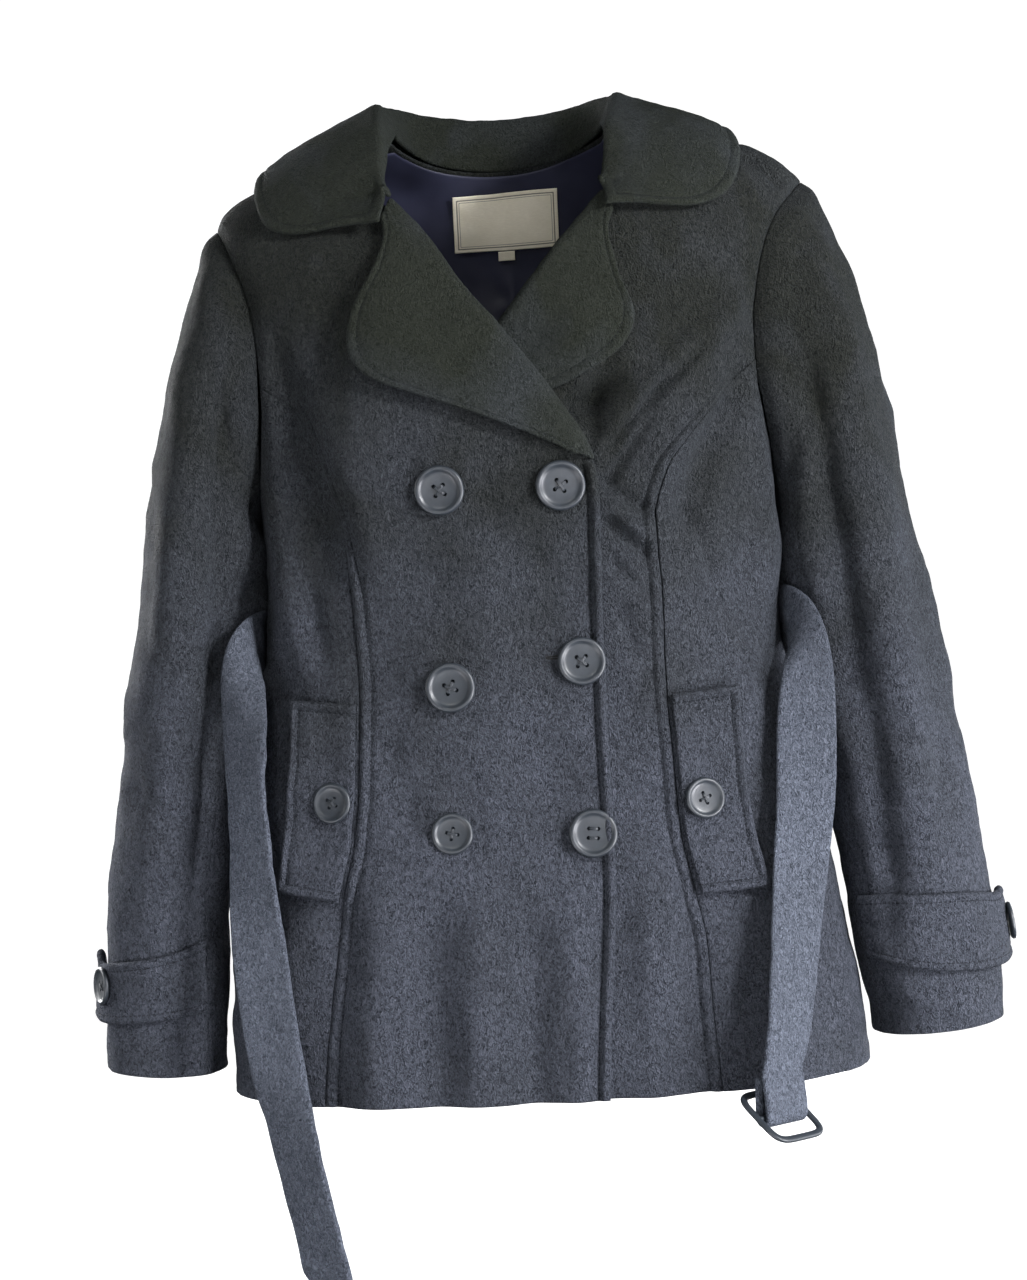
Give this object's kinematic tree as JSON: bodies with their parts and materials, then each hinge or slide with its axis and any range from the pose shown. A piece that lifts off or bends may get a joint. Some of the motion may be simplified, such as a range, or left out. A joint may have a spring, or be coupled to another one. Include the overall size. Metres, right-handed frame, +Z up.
{
  "type": "trench coat",
  "caption": "Short double-breasted trench coat with notched round collar, cuff straps, pocket flaps and a loose belt, filled out as if worn.",
  "frame": {"origin": "middle of the neck opening, at the base of the wearer's neck", "axes": "+X to the wearer's left, +Y to the wearer's back, +Z up towards the head"},
  "size_m": [0.6646, 0.2459, 0.8281],
  "materials": {
    "back": "brushed fleece with a soft raised nap",
    "collar": "brushed fleece with a soft raised nap",
    "lapel_right": "brushed fleece with a soft raised nap",
    "lapel_left": "brushed fleece with a soft raised nap",
    "front_right": "brushed fleece with a soft raised nap",
    "front_right_side": "brushed fleece with a soft raised nap",
    "front_left": "brushed fleece with a soft raised nap",
    "front_left_side": "brushed fleece with a soft raised nap",
    "sleeve_right_upper": "brushed fleece with a soft raised nap",
    "sleeve_right_under": "brushed fleece with a soft raised nap",
    "sleeve_left_upper": "brushed fleece with a soft raised nap",
    "sleeve_left_under": "brushed fleece with a soft raised nap",
    "cuff_strap_right": "brushed fleece with a soft raised nap",
    "cuff_strap_left": "brushed fleece with a soft raised nap",
    "pocket_flap_right": "brushed fleece with a soft raised nap",
    "pocket_flap_left": "brushed fleece with a soft raised nap",
    "belt": "brushed fleece with a soft raised nap",
    "lining_back": "smooth dark satin",
    "label": "matte woven ribbon",
    "size_tag": "matte woven ribbon",
    "belt_loop_right": "twisted thread",
    "belt_loop_left": "twisted thread",
    "button_top_right": "smooth slate-coloured plastic, satin shine",
    "button_top_left": "smooth slate-coloured plastic, satin shine",
    "button_waist_right": "smooth slate-coloured plastic, satin shine",
    "button_waist_left": "smooth slate-coloured plastic, satin shine",
    "button_low_right": "smooth slate-coloured plastic, satin shine",
    "button_low_left": "smooth slate-coloured plastic, satin shine",
    "button_pocket_right": "smooth slate-coloured plastic, satin shine",
    "button_pocket_left": "smooth slate-coloured plastic, satin shine",
    "button_cuff_right": "smooth slate-coloured plastic, satin shine",
    "button_cuff_left": "smooth slate-coloured plastic, satin shine",
    "buckle": "smooth slate-coloured plastic, satin shine"
  },
  "bodies": {
    "coat": {"back": "back", "collar": "collar", "lapel_right": "lapel_right", "lapel_left": "lapel_left", "front_right": "front_right", "front_right_side": "front_right_side", "front_left": "front_left", "front_left_side": "front_left_side", "sleeve_right_upper": "sleeve_right_upper", "sleeve_right_under": "sleeve_right_under", "sleeve_left_upper": "sleeve_left_upper", "sleeve_left_under": "sleeve_left_under", "cuff_strap_right": "cuff_strap_right", "cuff_strap_left": "cuff_strap_left", "pocket_flap_right": "pocket_flap_right", "pocket_flap_left": "pocket_flap_left", "belt": "belt", "lining_back": "lining_back", "label": "label", "size_tag": "size_tag", "belt_loop_right": "belt_loop_right", "belt_loop_left": "belt_loop_left", "button_top_right": "button_top_right", "button_top_left": "button_top_left", "button_waist_right": "button_waist_right", "button_waist_left": "button_waist_left", "button_low_right": "button_low_right", "button_low_left": "button_low_left", "button_pocket_right": "button_pocket_right", "button_pocket_left": "button_pocket_left", "button_cuff_right": "button_cuff_right", "button_cuff_left": "button_cuff_left"},
    "buckle": {"buckle": "buckle"}
  },
  "joints": [
    {"name": "buckle_swing", "type": "hinge", "parent": "coat", "child": "buckle", "pos_m": [0.1544, -0.117, -0.652], "axis": [0.7108, 0.7008, -0.0601], "range_deg": [-90, 22]}
  ]
}
